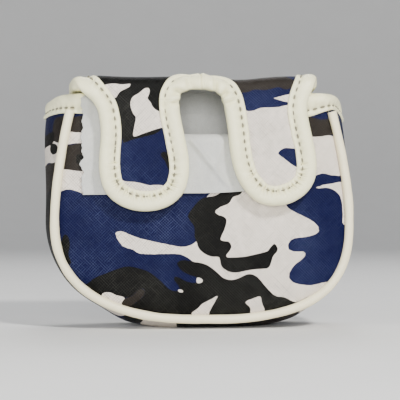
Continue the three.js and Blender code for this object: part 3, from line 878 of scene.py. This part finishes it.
LEFT_EDGE = [
    (-60.5, 185), (-60.5, 172), (-60.8, 158), (-61, 142), (-60.8, 130), (-60.2, 120), (-58.9, 114),
    (-56.6, 109.6), (-53.6, 106), (-50.8, 102.8), (-48.9, 99.2), (-47.9, 93.6), (-47.6, 87.4),
    (-48.2, 79.5), (-48.4, 74.6), (-47.9, 69.8), (-46.7, 64.9), (-44.5, 60.9), (-40.6, 57.3), (-35.7, 54.8),
    (-30.8, 53.6), (-25.8, 53.4), (-20.9, 54.1), (-16, 56), (-12, 59), (-9.1, 62.9), (-7.6, 67.9),
    (-7.1, 72.8), (-7.4, 78.7), (-8.7, 85.6), (-10.2, 92.5), (-11.3, 98.4), (-11.7, 103.3), (-11, 106.8),
    (-8.3, 108.8), (-3.1, 109.5),
]
RIGHT_EDGE = [
    (1.9, 109.3), (6.1, 108.2), (8.1, 105.4), (9.2, 101.5), (10.3, 95.5), (11.1, 89.6), (11.7, 83.7),
    (12.6, 77.8), (13.9, 72.8), (15.8, 67.9), (18.3, 63.9), (21.1, 60.6), (24.8, 57.7), (29.8, 56.1),
    (34.8, 56), (39.8, 57), (44.9, 59.6), (48.9, 63.4), (51.4, 68.2), (52.2, 73.9), (51.7, 79.9),
    (50.6, 85.8), (49.2, 91.8), (48.2, 96.8), (47.7, 101.2), (48.4, 105.7), (50.2, 110.2), (52.1, 115.7),
    (53.7, 122), (55.8, 134), (58, 152), (59.5, 166), (60, 174), (60, 185),
]
EDGE = spline(LEFT_EDGE + RIGHT_EDGE, 1100)
EDGE_OUT = rim_normals(EDGE)  # the outline runs like a seam line, with the fabric on its left
EDGE_LENGTH = arc_length(EDGE)
EDGE_ANGLE = np.unwrap(np.arctan2(EDGE_OUT[:, 1], EDGE_OUT[:, 0]))
EDGE_TURN = np.abs(np.gradient(EDGE_ANGLE, EDGE_LENGTH))  # radians per mm
LEFT_TIP = int(np.argmin(np.where(EDGE[:, 0] < 0, EDGE[:, 1], 999)))
RIGHT_TIP = int(np.argmin(np.where(EDGE[:, 0] > 0, EDGE[:, 1], 999)))
APEX = LEFT_TIP + int(np.argmax(EDGE[LEFT_TIP:RIGHT_TIP, 1]))


def edge_index(start, stop, w):
    """Where the outline crosses w between two of its stations."""
    span = EDGE[start:stop, 1]
    return start + int(np.argmin(np.abs(span - w)))


# A binding's section: s is the distance in from its outer edge and h the height over the fabric's face.
BINDING_FACE = [
    (9.3, 0.15), (9.25, 0.7), (8.7, 1.15), (7.8, 1.05), (7.2, 0.7), (6.8, 0.45), (6.4, 0.75), (5.7, 1.5),
    (4.5, 2.2), (3.1, 2.45), (1.8, 2.15), (0.75, 1.35), (0.15, 0.2), (0, -1.9), (0.2, -3.6), (1.1, -4.6),
    (3.0, -4.9), (6.0, -4.7), (9.0, -4.6), (9.3, -4.15),
]
BINDING_SLOT = [(9.2, -3.9), (1.5, -3.9), (1.5, 0.05), (9.2, 0.05)]
SECTION = np.vstack([spline(BINDING_FACE, 48), BINDING_SLOT])
STITCH_PITCH = 3.7
STITCH_DEPTH = 0.5  # the stitches' groove is this high over the fabric
BUNCHED = 8.0  # the bunched tape hides the stitches this near to the join
FAR_FROM_JOIN = 99.0


def binding_sections(length, to_join, end=None, tight=0.0):
    """Sections along a binding, stations x points x (s, h): puckered at its stitches, bunched near the join.

    tight, from 0 to 1, is how hard a bend puckers the tape; end, from 0 to 1, thins it where it runs out.
    """
    length = length[:, None]
    to_join = to_join[:, None]
    s = np.broadcast_to(SECTION[:, 0], (len(length), len(SECTION))).copy()
    h = np.broadcast_to(SECTION[:, 1], s.shape).copy()
    on_face = smooth((h + 1.0) / 1.6) * (s < 9.28)
    phase = 2 * math.pi * length / STITCH_PITCH
    near = hump(s - STITCH_INSET, 1.6)
    slow = 0.2 * ripple(length, s, seed=12, scale=5.5) + 0.1 * ripple(length, s, seed=13, scale=1.5)
    wrinkles = 0.3 * np.cos(2.3 * phase + s) * hump(s - 6.2, 2.2)
    h = h + on_face * (0.3 * near * np.cos(phase) + slow + tight * (0.34 * near * np.cos(phase) + wrinkles))
    bunched = smooth((19 - to_join) / 8) * lerp(0.35, 1.0, smooth((to_join - 3) / 4))
    fold = 0.5 + 0.5 * np.cos(2 * math.pi * length / 4.9 + 1.2 * np.sin(length / 3.7) + 0.28 * s)
    crumple = fold**2 * hump(s - 2.4, 2.9)
    h = h + on_face * bunched * (0.6 - 2.8 * crumple)
    h = h + on_face * (0.9 * hump(to_join, 1.7) - 0.7 * hump(to_join, 0.4))
    if end is not None:
        h = lerp(h, np.minimum(h, 0.5), on_face * (1 - end[:, None]))
    s = s + 0.14 * ripple(length, seed=3, scale=3.2) * (s > 6)
    s = s - 0.5 * bunched * (0.5 - fold) * (s < 3)
    return s, h


def flap_binding(name, start, stop):
    """The binding over stations start to stop of the flap's outline."""
    at = slice(start, stop)
    tight = smooth((EDGE_TURN[at, None] - 0.02) / 0.02) * smooth((86 - EDGE[at, 1:]) / 10)
    s, h = binding_sections(EDGE_LENGTH[at], np.abs(EDGE_LENGTH[at] - EDGE_LENGTH[APEX]), tight=tight)
    over_top = smooth((EDGE[at, 1:] - 102) / 10) * smooth((np.abs(EDGE[at, :1]) - 20) / 10)
    h = np.where(h > 0, h * (1 - 0.42 * over_top), h)
    place = EDGE[at, None] - EDGE_OUT[at, None] * s[..., None]
    return swept(name, flap_point(place[..., 0], place[..., 1], h), TAPE)


def stitch_row(name, curve, normal, pitch=STITCH_PITCH, long=2.0, thick=0.38, skip=0.5):
    """Stitches along a curve, each a short arched thread whose ends dive into the tape."""
    length = arc_length(curve)
    points = []
    faces = []
    stations = 9
    sides = 8
    t = np.linspace(-1, 1, stations)
    rng = np.random.default_rng(len(curve))
    centres = np.arange(pitch * skip, length[-1] - pitch * 0.35, pitch)
    for centre in centres:
        centre = centre + rng.uniform(-0.12, 0.12)
        at = np.clip(centre + t * long / 2, 0, length[-1])
        path = np.stack([np.interp(at, length, curve[:, k]) for k in range(3)], axis=1)
        out = unit(np.stack([np.interp(at, length, normal[:, k]) for k in range(3)], axis=1))
        path = path + out * (0.34 - 0.62 * t**4)[:, None]
        radius = thick * (1 - 0.45 * t**4)
        first = len(points) * stations * sides
        last = first + (stations - 1) * sides
        points.append(tube_sections(path, radius, sides, out.mean(axis=0)).reshape(-1, 3))
        faces += grid_faces(stations, sides, first, wrap=True)
        faces.append(tuple(first + k for k in range(sides)))
        faces.append(tuple(last + k for k in range(sides)))
    return make_object(name, np.vstack(points), faces, SHADED_YARN)


def flap_stitches(name, start, stop):
    """The stitches over stations start to stop; the bunched tape hides them next to the join."""
    at = np.arange(start, stop)
    at = at[np.abs(EDGE_LENGTH[at] - EDGE_LENGTH[APEX]) > BUNCHED]
    place = EDGE[at] - EDGE_OUT[at] * STITCH_INSET
    low = flap_point(place[:, 0], place[:, 1], STITCH_DEPTH)
    high = flap_point(place[:, 0], place[:, 1], STITCH_DEPTH + 1)
    return stitch_row(name, low, high - low)


def flap_layers(rows_w, left, right, columns):
    """The layout grid of a piece of the flap: rows at rows_w, from left to right."""
    t = np.linspace(0, 1, columns)
    x = lerp(left[:, None], right[:, None], t)
    return x, np.repeat(rows_w[:, None], columns, axis=1)


def flap_sheet(name, grids, depths, material, painted=False):
    """Closed sheets between two depths over one or more layout grids, joined."""
    parts = []
    for x, w in grids:
        uv = np.stack([x, w], axis=-1)
        fields = flap_paint(uv.reshape(-1, 2)) if painted else None
        loose = lining_folds(x) * smooth((w - TOP_END) / 10) if material is LINING else 0.0
        outer, inner = (flap_point(x, w, -depth - loose) for depth in depths)
        parts.append(thick_sheet(name, outer, inner, material, uv, fields))
    return join(name, parts) if len(parts) > 1 else parts[0]


def flap_paint(points):
    """The set patches on the tongues run into the scattered ones over the top of the flap."""
    x, w = points.T
    left = paint(points, LEFT_PATCHES, LEFT_HOLES)
    right = paint(points, RIGHT_PATCHES, RIGHT_HOLES)
    loose = scattered(x, w, BODY_SEED)
    share = smooth((w - 119) / 7)
    return {key: lerp(np.where(x < 0, left[key], right[key]), loose[key], share) for key in loose}


def tongue_grid(tip, first, last, inset, top, columns, count, limit):
    """The layout grid of a tongue inside its binding, from the round tip up to top.

    The grid comes no nearer than limit to the middle, where the notch has ended.
    """
    line = EDGE - EDGE_OUT * inset
    a = line[first : tip + 1][::-1]
    b = line[tip : last + 1]
    low = max(a[:, 1].min(), b[:, 1].min()) + 0.02
    rows = low + (top - low) * np.linspace(0, 1, count) ** 1.6
    xa = np.interp(rows, np.maximum.accumulate(a[:, 1]), a[:, 0])
    xb = np.interp(rows, np.maximum.accumulate(b[:, 1]), b[:, 0])
    outer, inner = (xa, xb) if EDGE[tip, 0] < 0 else (xb, xa)
    inner = np.minimum(inner, -limit) if EDGE[tip, 0] < 0 else np.maximum(inner, limit)
    return flap_layers(rows, np.minimum(outer, inner), np.maximum(outer, inner), columns)


# ---- Build: the pouch ----


def finish_piece(obj, nodes, body=None):
    """Hide the CAD nodes that a piece replaces and, where it doesn't bend, attach it to its body."""
    if nodes:
        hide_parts(*nodes)
    if body:
        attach(obj, body)


def front_paint(points):
    return paint(points, FRONT_PATCHES, FRONT_HOLES)


def back_paint(points):
    return scattered(points[:, 0], points[:, 1], BODY_SEED)


# The depths of each layer below the outer face, its material and its slot.
LAYERS = {
    "": ((0.0, SHELL), CAMO, "camouflage_leather"),
    "_padding": ((1.5, 2.7), FOAM, "foam"),
    "_lining": ((3.0, STACK), LINING, "lining"),
}
for suffix, (depths, material, slot) in LAYERS.items():
    shell = suffix == ""
    inset = SEAM_HIDE if shell else LINING_INSET
    paints = (front_paint, back_paint) if shell else (None, None)
    layer = (inset, depths, material, 150, 160) if shell else (inset, depths, material, 70, 80)
    back_top = NECK_Z + (TUCK if suffix == "_lining" else 0.2)
    front = panel(f"front_panel{suffix}", -1, MOUTH_HEIGHT, *layer, paints[0], bend_to_scoop)
    back = panel(f"back_panel{suffix}", 1, back_top, *layer, paints[1])
    side = gusset(f"gusset{suffix}", inset, depths, material, shell)
    for obj, node in ((front, "front_panel"), (back, "back_panel"), (side, "gusset")):
        finish_piece(obj, [f"{node}{suffix}"], "pouch")

# Piping in the two seams, and the cord inside it.
for name, side in (("front", -1), ("back", 1)):
    line = rim_line(side, SEAM_TOP + 2.5, 420)
    along = np.arange(len(line)) * 0.8
    path = np.stack([line[:, 0], np.full(len(line), side * (HALF_DEPTH + 0.2)), line[:, 1]], axis=1)
    path = path + 0.1 * np.stack([ripple(along, seed=k, scale=7) for k in (1, 2, 3)], axis=1)
    path[:, 2] = np.maximum(path[:, 2], PIPING_R - LIFT + 0.15)
    radius = PIPING_R * (1 + 0.035 * ripple(along, seed=9, scale=4.0))
    obj = swept(f"{name}_piping", tube_sections(path, radius, 22, (0, 1, 0)), PIPE)
    finish_piece(obj, [f"{name}_piping"], "pouch")
    obj = swept(f"{name}_piping_cord", tube_sections(path[3:-3], 1.2, 10, (0, 1, 0)), CORD)
    finish_piece(obj, [f"{name}_piping_cord"], "pouch")


MOUTH_PROUD = 0.8  # the binding's edge is this far over the ring
MOUTH_EASE = 0.55  # and stands out this much more than the gusset
MOUTH_START = 61.0  # beside the flap's neck
MOUTH_BACK = HALF_DEPTH + 0.2
MOUTH_FRONT = -HALF_DEPTH - 0.6


def mouth_ring(z, side, end):
    """A line round one side of the mouth: the back corner, the gusset's top and on to the front panel."""
    front = rim_width(z, -1, side)
    back = rim_width(z, 1, side)
    swell = bulge(np.array(z), np.array(side)) + MOUTH_EASE
    points = [(MOUTH_START, MOUTH_BACK, 1.0), (back - 3.0, MOUTH_BACK, 1.0)]
    for a in np.linspace(0.8, -0.8, 7):
        points.append((lerp(front, back, (a + 1) / 2) + swell * (1 - a * a), HALF_DEPTH * a, a))
    points.append((front - 2.2, MOUTH_FRONT, -1.0))
    if end < front - 8:
        points.append((lerp(front - 2.2, end, 0.5), MOUTH_FRONT, -1.0))
    points.append((end, MOUTH_FRONT, -1.0))
    return spline([(side * x, y, z - mouth_sag(a, side, z)) for x, y, a in points], 190)


MOUTH_ENDS = {"left": (-1, 53.5), "right": (1, 47.0)}  # hand, and how far the binding comes round in front
MOUTH_TOPS = {-1: 107.0, 1: 107.9}
for name, (side, end) in MOUTH_ENDS.items():
    top = mouth_ring(MOUTH_TOPS[side], side, end)
    low = mouth_ring(SEAM_TOP, side, end)
    up = unit(top - low)
    tangent = unit(np.gradient(top, axis=0))
    out = unit(np.cross(tangent, up)) * -side
    length = arc_length(top)
    level = np.ones(len(length))
    runs_out = smooth((length[-1] - length - 0.5) / 5) if side < 0 else level
    s, h = binding_sections(length, FAR_FROM_JOIN * level, runs_out)
    tall = level
    if side > 0:  # taller beside the flap and at the back, lower at the front corner
        front_tall = lerp(1.2, 0.84, smooth((top[:, 0] - 48) / 13))
        tall = lerp(front_tall, 1.06, smooth((top[:, 1] + 19) / 16))
    over = MOUTH_PROUD - s * tall[:, None]
    sections = top[:, None] + up[:, None] * over[..., None] + out[:, None] * h[..., None]
    obj = swept(f"mouth_binding_{name}", sections, TAPE)
    finish_piece(obj, [f"mouth_binding_{name}"], "pouch")
    row = top + up * (MOUTH_PROUD - STITCH_INSET * tall[:, None]) + out * STITCH_DEPTH
    row = row[: np.searchsorted(length, length[-1] - 3.5)] if side < 0 else row
    obj = stitch_row(f"mouth_stitches_{name}", row, out[: len(row)])
    finish_piece(obj, [f"mouth_thread_{name}"], "pouch")

# Loop patch: up the front panel, rolled over the mouth's edge and down inside.
PATCH_LEFT = -56.2
PATCH_RIGHT = 48.0
PATCH_ROLL = 2.2
PATCH_THICK = 1.3
PATCH_INSIDE = 9.0
PATCH_BOTTOM = {-1: 60.6, 1: 63.2}
t = np.linspace(0, 1, 170)[None]
share = np.linspace(0, 1, 110)[:, None]
down = share * 46.0
torn = 0.9 * ripple(down, seed=21, scale=1.7) + 0.35 * ripple(down, seed=22, scale=0.6)
x = lerp(PATCH_LEFT, PATCH_RIGHT, t) + torn * np.exp(-t * 30)
bottom = lerp(PATCH_BOTTOM[-1], PATCH_BOTTOM[1], t) + 0.3 * ripple(x, seed=23, scale=6)
edge = scoop(x) - 3.2
climb = edge - bottom
along = share * (climb + math.pi * PATCH_ROLL + PATCH_INSIDE)
turn = np.clip((along - climb) / PATCH_ROLL, 0, math.pi)
z = np.where(along < climb, bottom + along, edge + PATCH_ROLL * np.sin(turn))
z = z - np.maximum(along - climb - math.pi * PATCH_ROLL, 0)
face = panel_face(x, np.minimum(z, scoop(x)), -1)
fold = 0.2 * ripple(x, z, seed=24, scale=8)
# One crease slants across the middle and a weaker one stands nearly upright.
crease = 1.7 * hump(x + 7 - (88 - z) * 0.8, 1.7) + 1.0 * hump(x - 9 + (86 - z) * 0.3, 1.9)
over_ear = 1.0 * smooth((z - 92) / 9) * smooth((-50 - x) / 4)
lifted = (fold + crease * smooth((z - 62) / 6) * smooth((90 - z) / 6) + over_ear) * np.cos(turn).clip(0)
grids = []
for lift in (0.3 + PATCH_THICK, 0.3):
    y = -HALF_DEPTH - face - np.cos(turn) * lift + (1 - np.cos(turn)) * PATCH_ROLL - lifted
    grids.append(np.stack([x, y, z + np.sin(turn) * lift], axis=-1))
obj = thick_sheet("loop_patch", *grids, LOOP)
finish_piece(obj, ["loop_patch"], "pouch")

# ---- Build: the flap ----

left_split = edge_index(0, LEFT_TIP, SPLIT_W)
right_split = edge_index(RIGHT_TIP, len(EDGE), SPLIT_W)
NOTCH_SPLIT_W = 104.0  # the tongue bindings end here and the bunched one goes on
left_inner = edge_index(LEFT_TIP, APEX, NOTCH_SPLIT_W)
right_inner = edge_index(APEX, RIGHT_TIP, NOTCH_SPLIT_W)
CENTRE_HALF = 10.2
FLAP_INSET = 2.2  # the flap's layers end this far inside the binding's edge
HOOK_INSET = 10.4
HOOK_TOP = 92.0

# Neck and face, with the strip behind the notch.
line = EDGE - EDGE_OUT * FLAP_INSET
rows = np.linspace(SPLIT_W, NECK_W, 70)
tucked_rows = np.linspace(SPLIT_W, NECK_W + TUCK, 74)
a = line[:LEFT_TIP][::-1]
b = line[RIGHT_TIP:]
face_grids = {}
for suffix, at in (("", rows), ("_padding", rows), ("_lining", tucked_rows)):
    left = np.interp(at, np.maximum.accumulate(a[:, 1]), a[:, 0])
    right = np.interp(at, np.maximum.accumulate(b[:, 1]), b[:, 0])
    face_grids[suffix] = flap_layers(at, left, right, 120)
strip_rows = np.linspace(112.6, SPLIT_W, 10)
strip_grid = flap_layers(strip_rows, np.full(10, -CENTRE_HALF), np.full(10, CENTRE_HALF), 24)

for suffix, (depths, material, slot) in LAYERS.items():
    node = f"face_flap{suffix}"
    obj = flap_sheet(node, [face_grids[suffix], strip_grid], depths, material, suffix == "")
    finish_piece(obj, [node])
    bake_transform(obj)

for name, start, stop in (("left", 0, left_split + 1), ("right", right_split, len(EDGE))):
    obj = flap_binding(f"face_binding_{name}", start, stop)
    finish_piece(obj, [f"face_binding_{name}", f"neck_binding_{name}"])
    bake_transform(obj)
    obj = flap_stitches(f"face_stitches_{name}", start, stop)
    finish_piece(obj, [])
    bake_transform(obj)

# Tongues.
TONGUES = {
    "left": (LEFT_TIP, left_split, left_inner, (0, APEX)),
    "right": (RIGHT_TIP, right_inner, right_split, (APEX, len(EDGE) - 1)),
}
for name, (tip, start, stop, sides) in TONGUES.items():
    body = f"{name}_tongue"
    grid = tongue_grid(tip, *sides, FLAP_INSET, SPLIT_W, 44, 84, CENTRE_HALF)
    for suffix, (depths, material, slot) in LAYERS.items():
        node = f"tongue_{name}{suffix}"
        obj = flap_sheet(node, [grid], depths, material, suffix == "")
        finish_piece(obj, [node])
        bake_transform(obj)
    obj = flap_binding(f"tongue_binding_{name}", start, stop + 1)
    finish_piece(obj, [f"tongue_binding_{name}"])
    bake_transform(obj)
    obj = flap_stitches(f"tongue_stitches_{name}", start, stop + 1)
    finish_piece(obj, [f"tongue_thread_{name}"])
    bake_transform(obj)
    grid = tongue_grid(tip, *sides, HOOK_INSET, HOOK_TOP, 24, 40, 0)
    obj = flap_sheet(f"hook_patch_{name}", [grid], (STACK + 0.3, STACK + 1.5), HOOK)
    finish_piece(obj, [f"hook_patch_{name}"], body)

# The bunched binding over the notch, in two halves that meet at a join: stations, and two end points that
# are not used.
HALVES = {
    "left": (left_inner, APEX + 1, Vector((-3, -31, 112 + LIFT)), Vector((-12, TONGUE_Y, 104 + LIFT))),
    "right": (APEX, right_inner + 1, Vector((1, -31, 112 + LIFT)), Vector((9, TONGUE_Y, 104 + LIFT))),
}
for name, (start, stop, near, far) in HALVES.items():
    obj = flap_binding(f"notch_binding_{name}", start, stop)
    finish_piece(obj, ["notch_binding"])
    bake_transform(obj)
    obj = flap_stitches(f"notch_stitches_{name}", start, stop)
    finish_piece(obj, [])
    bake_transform(obj)

# ---- Stage, light and camera ----

FLOOR_RADIUS = 1150.0  # a round paper floor that curves up all round
SWEEP_RADIUS = 700.0
SPOKES = 72
scene = bpy.context.scene
stage = Nodes("stage_paper")
paper = stage.noise(30.0, 3.0)
stage.set(Base_Color=stage.mix(paper, (0.82, 0.82, 0.81, 1), (0.86, 0.86, 0.85, 1)), Roughness=0.9)
radius = [500.0, 1000.0]
height = [0.0, 0.0]
for turn in np.linspace(0, math.pi / 2, 14):
    radius.append(FLOOR_RADIUS + SWEEP_RADIUS * math.sin(turn))
    height.append(SWEEP_RADIUS * (1 - math.cos(turn)))
around = np.linspace(0, 2 * math.pi, SPOKES, endpoint=False)
rings = [[(r * math.cos(a), r * math.sin(a), z) for a in around] for r, z in zip(radius, height)]
centre = len(rings) * SPOKES
faces = grid_faces(len(rings), SPOKES, wrap=True) + [(centre, k, (k + 1) % SPOKES) for k in range(SPOKES)]
points = np.vstack([np.array(rings).reshape(-1, 3), [[0, 0, 0]]])
floor = make_object("floor", points, faces, stage.material, lift=0.0)

world = bpy.data.worlds.new("studio")
world.use_nodes = True
world.node_tree.nodes["Background"].inputs[0].default_value = (0.9, 0.93, 1.0, 1)
world.node_tree.nodes["Background"].inputs[1].default_value = 0.25
scene.world = world


LIGHT_AIM = Vector((0, 0, 0.06))


def area_light(name, place, size, power, colour=(1, 1, 1)):
    data = bpy.data.lights.new(name, "AREA")
    data.shape = "DISK"
    data.size = size
    data.energy = power
    data.color = colour
    light = bpy.data.objects.new(name, data)
    light.location = place
    light.rotation_euler = (LIGHT_AIM - Vector(place)).to_track_quat("-Z", "Y").to_euler()
    scene.collection.objects.link(light)


area_light("key", (0.32, -0.85, 0.72), 0.14, 13.0, (1, 0.98, 0.95))
area_light("front", (-0.12, -1.18, 0.22), 0.35, 9.0, (1, 0.99, 0.97))
area_light("side", (-0.8, -0.5, 0.35), 0.6, 3.4, (0.95, 0.97, 1))
area_light("top", (0.1, 0.5, 0.8), 0.5, 4.0)

CAMERA_AZIMUTH = math.radians(-6.5)
CAMERA_DISTANCE = 0.7
SENSOR_WIDTH = 36.0
VIEW_WIDTH = 0.186  # what the picture's width covers in the plane of the front seam
target = Vector((-1.1, -HALF_DEPTH, 58.6 + LIFT)) * MM
camera_data = bpy.data.cameras.new("camera")
camera_data.sensor_width = SENSOR_WIDTH
camera_data.lens = SENSOR_WIDTH * CAMERA_DISTANCE / VIEW_WIDTH
camera = bpy.data.objects.new("camera", camera_data)
camera.location = target + CAMERA_DISTANCE * Vector((math.sin(CAMERA_AZIMUTH), -math.cos(CAMERA_AZIMUTH), 0))
camera.rotation_euler = (math.pi / 2, 0, CAMERA_AZIMUTH)
scene.collection.objects.link(camera)
scene.camera = camera
